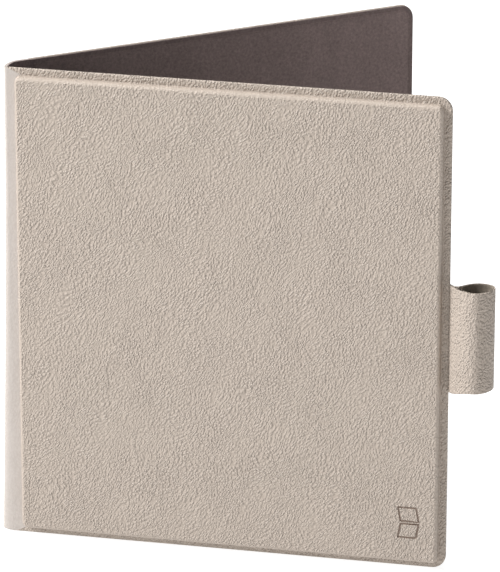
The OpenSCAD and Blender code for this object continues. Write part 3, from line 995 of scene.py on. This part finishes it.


# for each half of the strip, the side it starts from and the shares between which it passes over
halves = {"holder": (0.0, spineShape["join"]), "flap": (spineShape["join"], 1.0)}
for side, (firstShare, lastShare) in halves.items():
    strip = makePiece(
        "spine_leather_" + side,
        spineStrip(firstShare, lastShare, 0.0, spineShape["leatherThickness"]),
        smoothLeather,
        replaced=["spine_skin"],
    )
    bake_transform(strip)
    strip = makePiece(
        "spine_lining_" + side,
        spineStrip(firstShare, lastShare, spineShape["leatherThickness"], spineShape["liningThickness"]),
        suede,
        replaced=["spine_lining"],
    )
    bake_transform(strip)
print("spine made")

# pen loop
penLoop = {
    # outer face of the strap seen from above, from the back of the cover's edge round to its front
    "path": [
        (72.2, 1.0), (73.5, -0.4), (74.6, -1.3), (75.9, -0.8), (77.4, 0.95), (79.2, 2.4), (81.2, 3.15),
        (83.1, 3.25), (84.9, 2.85), (86.4, 1.95), (87.3, 0.6), (87.4, -1.2), (86.5, -3.6), (84.8, -5.8),
        (82.8, -6.95), (80.8, -7.1), (78.7, -6.45), (76.5, -5.05), (74.6, -3.5), (73.3, -1.8), (72.2, 0.1),
    ],
    "liningEnds": (3, 18),
    "strapThickness": 0.6 * mm,
    "liningThickness": 0.4 * mm,
    "edge": 0.4 * mm,
    "rise": 2.5 * mm,  # the strap is narrower round the pen than at the cover
    "riseRange": (73.0 * mm, 79.5 * mm),
    "smoothness": 2,
}
loopLow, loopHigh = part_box("pen_loop_strap")


def strapBand(points, bottom, top, inset, thickness, edge):
    # a band that stands on its edge and follows the points; the loop lies to the right of the way it goes
    bm = bmesh.new()
    verts = [bm.verts.new((x, y, bottom)) for x, y in points]
    edges = [bm.edges.new(pair) for pair in zip(verts, verts[1:])]
    half = (top - bottom - 2 * edge) / 2
    for rise in (edge, half, half, edge):
        made = bmesh.ops.extrude_edge_only(bm, edges=edges)["geom"]
        edges = [item for item in made if isinstance(item, bmesh.types.BMEdge)]
        verts = [item for item in made if isinstance(item, bmesh.types.BMVert)]
        edges = [item for item in edges if all(vert in verts for vert in item.verts)]
        bmesh.ops.translate(bm, vec=(0, 0, rise), verts=verts)
    bm.normal_update()
    farthest = max(bm.faces, key=lambda face: face.calc_center_median().x)
    if farthest.normal.x < 0:
        bmesh.ops.reverse_faces(bm, faces=bm.faces)
    bm.normal_update()
    if inset:
        places = {vert: vert.co - inset * vert.normal for vert in bm.verts}
        for vert, place in places.items():
            vert.co = (place.x, place.y, vert.co.z)
    bmesh.ops.solidify(bm, geom=list(bm.faces), thickness=thickness)
    near, far = penLoop["riseRange"]
    for vert in bm.verts:
        outward = min(1.0, max(0.0, (vert.co.x - near) / (far - near)))
        vert.co.z += penLoop["rise"] * outward * (top - vert.co.z) / (top - bottom)
    return bm


def smoothPiece(piece, levels):
    soft = piece.modifiers.new("softForm", "SUBSURF")
    soft.levels = levels
    soft.render_levels = levels


loopPath = [(x * mm, y * mm) for x, y in penLoop["path"]]
loopStrap = makePiece(
    "pen_loop_leather",
    strapBand(loopPath, loopLow.z, loopHigh.z, 0.0, penLoop["strapThickness"], penLoop["edge"]),
    leather,
    body="holder_cover",
    replaced=["pen_loop_strap"],
    evenShading=False,
    sharpAngle=180,
)
smoothPiece(loopStrap, penLoop["smoothness"])
first, last = penLoop["liningEnds"]
# suede lining inside the loop; its dark brown is painted shade of the loop's inside
loopLining = makePiece(
    "pen_loop_painted_shade_suede",
    strapBand(
        loopPath[first:last],
        loopLow.z,
        loopHigh.z,
        penLoop["strapThickness"],
        penLoop["liningThickness"],
        penLoop["edge"],
    ),
    loopPaintedShadeSuede,
    body="holder_cover",
    replaced=["pen_loop_lining"],
    evenShading=False,
    sharpAngle=180,
)
smoothPiece(loopLining, penLoop["smoothness"])
print("pen loop made")

# e-reader
readerDetail = {
    "cornerRadius": 6.0 * mm,
    "wall": 1.1 * mm,
    "backSoftness": 1.2 * mm,
    "frontSoftness": 0.7 * mm,
    "openingSoftness": 0.12 * mm,
    "buttonGap": 0.15 * mm,
    "keyRadius": 1.5 * mm,
    "keySoftness": 0.3 * mm,
    "keyLip": 0.75 * mm,  # how far a page button's hidden lip stands out round its cap
    "keyDish": 0.12 * mm,
    "keyInsets": (0.3 * mm, 0.4 * mm, 0.2 * mm),  # flat edge, slope and floor of the dish
    "powerLip": (0.8 * mm, 0.4 * mm),  # the same for the power key, along and across
    "powerRadius": 0.5 * mm,
    "powerSlotRadius": 0.6 * mm,
    "powerSoftness": 0.22 * mm,
    "lensRadius": 3.0 * mm,
    "maskBorder": 1.5 * mm,  # beyond the edge of the panel
    "maskThickness": 0.03 * mm,
    "maskRadius": 0.6 * mm,
    "cutReach": 2.0 * mm,
    "grilleStart": 13.0 * mm,
    "grillePitch": 2.4 * mm,
    "grilleSlots": 6,
    "grilleSlot": 1.2 * mm,
    "grilleRadius": 0.432 * mm,
    "grilleDepth": (2.0 * mm, 3.0 * mm),
    "socketRadius": 1.6 * mm,
    "microphoneRadius": 0.4 * mm,
}
shellLow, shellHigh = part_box("reader_rear_shell")
frontLow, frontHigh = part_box("reader_front_frame")
lensLow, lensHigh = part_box("reader_cover_lens")
paperLow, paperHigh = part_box("reader_epaper_panel")
socketLow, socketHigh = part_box("reader_usb_socket")
microphoneLow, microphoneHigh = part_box("reader_microphone")
powerLow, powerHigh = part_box("power_button")


def shellCutter():
    # every opening of the rear shell's end walls but the power key's, in one tool
    bm = bmesh.new()
    wall = readerDetail["wall"]
    reach = 1.5 * wall
    near, far = readerDetail["grilleDepth"]
    for end in (shellLow.z, shellHigh.z):
        for number in range(readerDetail["grilleSlots"]):
            left = shellLow.x + readerDetail["grilleStart"] + number * readerDetail["grillePitch"]
            right = left + readerDetail["grilleSlot"]
            roundedBlock(
                bm,
                (left, shellLow.y + near, end - reach),
                (right, shellLow.y + far, end + reach),
                readerDetail["grilleRadius"],
                segments=4,
                axis=2,
            )
    gap = readerDetail["buttonGap"]
    roundedBlock(
        bm,
        (socketLow.x - gap, socketLow.y - gap, shellLow.z - wall),
        (socketHigh.x + gap, socketHigh.y + gap, shellLow.z + reach),
        readerDetail["socketRadius"],
        segments=8,
        axis=2,
    )
    middle = (microphoneLow + microphoneHigh) / 2
    made = bmesh.ops.create_cone(
        bm,
        cap_ends=True,
        segments=20,
        radius1=readerDetail["microphoneRadius"],
        radius2=readerDetail["microphoneRadius"],
        depth=2 * reach,
    )
    bmesh.ops.translate(bm, vec=(middle.x, middle.y, shellLow.z), verts=made["verts"])
    return bm


def keySlotCutter():
    # the power key's slot, a little larger than its cap
    bm = bmesh.new()
    gap = readerDetail["buttonGap"]
    side, thick = readerDetail["powerLip"]
    wall = readerDetail["wall"]
    roundedBlock(
        bm,
        (powerLow.x + side - gap, powerLow.y + thick - gap, shellHigh.z - 1.5 * wall),
        (powerHigh.x - side + gap, powerHigh.y - thick + gap, shellHigh.z + wall),
        readerDetail["powerSlotRadius"],
        segments=6,
        axis=2,
    )
    return bm


def softenOpenings(piece):
    bevel = piece.modifiers.new("softOpenings", "BEVEL")
    bevel.width = readerDetail["openingSoftness"]
    bevel.segments = 2
    bevel.limit_method = "ANGLE"
    bevel.angle_limit = math.radians(50)
    piece.modifiers.move(len(piece.modifiers) - 1, 0)


def rearShell():
    bm = bmesh.new()
    faces = roundedBlock(bm, shellLow, shellHigh, readerDetail["cornerRadius"], segments=14)
    front = faceTowards(faces, (0, 1, 0))
    softenEdges(bm, sharpEdgesAt(bm, shellLow.y), readerDetail["backSoftness"], segments=6)
    bmesh.ops.delete(bm, geom=[front], context="FACES_ONLY")
    bmesh.ops.solidify(bm, geom=list(bm.faces), thickness=readerDetail["wall"])
    return bm


rearPiece = makePiece(
    "reader_back_shell", rearShell(), darkShell, replaced=["reader_rear_shell"]
)
cutAway(rearPiece, [(shellCutter(), darkShell), (keySlotCutter(), darkShell)])
softenOpenings(rearPiece)
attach(rearPiece, "reader")

keyBoxes = {name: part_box(name) for name in ("page_button_upper", "page_button_lower")}


def frontBezel():
    bm = bmesh.new()
    roundedBlock(bm, frontLow, frontHigh, readerDetail["cornerRadius"], segments=14)
    softenEdges(bm, sharpEdgesAt(bm, frontHigh.y), readerDetail["frontSoftness"], segments=6)
    return bm


def bezelCutter():
    # the lens opening and the two page keys' openings
    bm = bmesh.new()
    reach = Vector((0, readerDetail["cutReach"], 0))
    roundedBlock(bm, lensLow - reach, lensHigh + reach, readerDetail["lensRadius"])
    gap = readerDetail["buttonGap"]
    inside = readerDetail["keyLip"] - gap
    lip = Vector((inside, 0, inside))
    for low, high in keyBoxes.values():
        radius = readerDetail["keyRadius"] + gap
        roundedBlock(bm, low + lip - reach, high - lip + reach, radius, segments=8)
    return bm


bezelPiece = makePiece(
    "reader_front_bezel", frontBezel(), frontPlastic, replaced=["reader_front_frame"]
)
cutAway(bezelPiece, [(bezelCutter(), frontPlastic)])
softenOpenings(bezelPiece)
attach(bezelPiece, "reader")


def lensMask():
    # the dark border printed on the lens round the panel
    bm = bmesh.new()
    low = Vector((lensLow.x, lensHigh.y, lensLow.z))
    high = Vector((lensHigh.x, lensHigh.y + readerDetail["maskThickness"], lensHigh.z))
    roundedBlock(bm, low, high, readerDetail["lensRadius"])
    return bm


def maskCutter():
    bm = bmesh.new()
    border = readerDetail["maskBorder"]
    reach = readerDetail["cutReach"] / 2
    low = Vector((paperLow.x + border, lensHigh.y - reach, paperLow.z + border))
    high = Vector((paperHigh.x - border, lensHigh.y + reach, paperHigh.z - border))
    roundedBlock(bm, low, high, readerDetail["maskRadius"], segments=4)
    return bm


maskPiece = makePiece("reader_lens_border", lensMask(), screenMask)
cutAway(maskPiece, [(maskCutter(), screenMask)])
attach(maskPiece, "reader")


def pageKey(low, high):
    # a cap with rounded edges and a shallow dish
    bm = bmesh.new()
    lip = Vector((readerDetail["keyLip"], 0, readerDetail["keyLip"]))
    roundedBlock(bm, low + lip, high - lip, readerDetail["keyRadius"], segments=8)
    softenEdges(bm, sharpEdgesAt(bm, high.y), readerDetail["keySoftness"], segments=4)
    top = faceTowards(bm.faces, (0, 1, 0))
    flat, slope, floor = readerDetail["keyInsets"]
    for thickness, depth in ((flat, 0), (slope, -readerDetail["keyDish"]), (floor, 0)):
        bmesh.ops.inset_individual(
            bm, faces=[top], thickness=thickness, depth=depth, use_even_offset=True
        )
    return bm


def powerKey():
    bm = bmesh.new()
    side, thick = readerDetail["powerLip"]
    inside = Vector((side, thick, 0))
    roundedBlock(
        bm, powerLow + inside, powerHigh - inside, readerDetail["powerRadius"], segments=6, axis=2
    )
    topEdges = []
    for edge in bm.edges:
        atTop = all(abs(vert.co.z - powerHigh.z) < closeEnough for vert in edge.verts)
        if atTop and len(edge.link_faces) == 2:
            topEdges.append(edge)
    softenEdges(bm, topEdges, readerDetail["powerSoftness"], segments=4)
    return bm


for nodeName, keyBox in keyBoxes.items():
    makePiece(
        nodeName + "_key", pageKey(*keyBox), keyPlastic, body=nodeName, replaced=[nodeName]
    )
makePiece(
    "power_key", powerKey(), keyPlastic, body="power_button", replaced=["power_button"]
)
print("e-reader made")

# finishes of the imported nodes
nodeFinishes = {
    "holder_foam": paddingFoam,
    "holder_board": greyBoard,
    "holder_magnets": magnetPlating,
    "flap_board": greyBoard,
    "flap_magnets": magnetPlating,
    "reader_rear_shell": darkShell,
    "reader_mid_frame": alloyTray,
    "reader_front_frame": frontPlastic,
    "reader_cover_lens": coverLens,
    "reader_touch_film": frostedFilm,
    "reader_light_guide": frostedFilm,
    "reader_light_strip": lampStrip,
    "reader_epaper_panel": screenPaper,
    "reader_display_flex": flexFilm,
    "reader_battery": batteryPouch,
    "reader_battery_lead": flexFilm,
    "reader_main_board": circuitBoard,
    "reader_board_chips": chipResin,
    "reader_flex_connector": connectorResin,
    "reader_shield_can": brushedSteel,
    "reader_hall_sensor": chipResin,
    "reader_usb_socket": brushedSteel,
    "reader_microphone": brushedSteel,
    "reader_speakers": darkShell,
    "reader_antenna": flexFilm,
    "reader_dock_magnets": magnetPlating,
    "reader_screws": brushedSteel,
    "reader_button_flex": flexFilm,
    "reader_power_switch": chipResin,
    "power_button": keyPlastic,
    "page_button_upper": keyPlastic,
    "page_button_lower": keyPlastic,
}
for nodeName, finish in nodeFinishes.items():
    node = frame["nodes"][nodeName]
    node.data.materials.clear()
    node.data.materials.append(finish)
print("packed nodes finished")
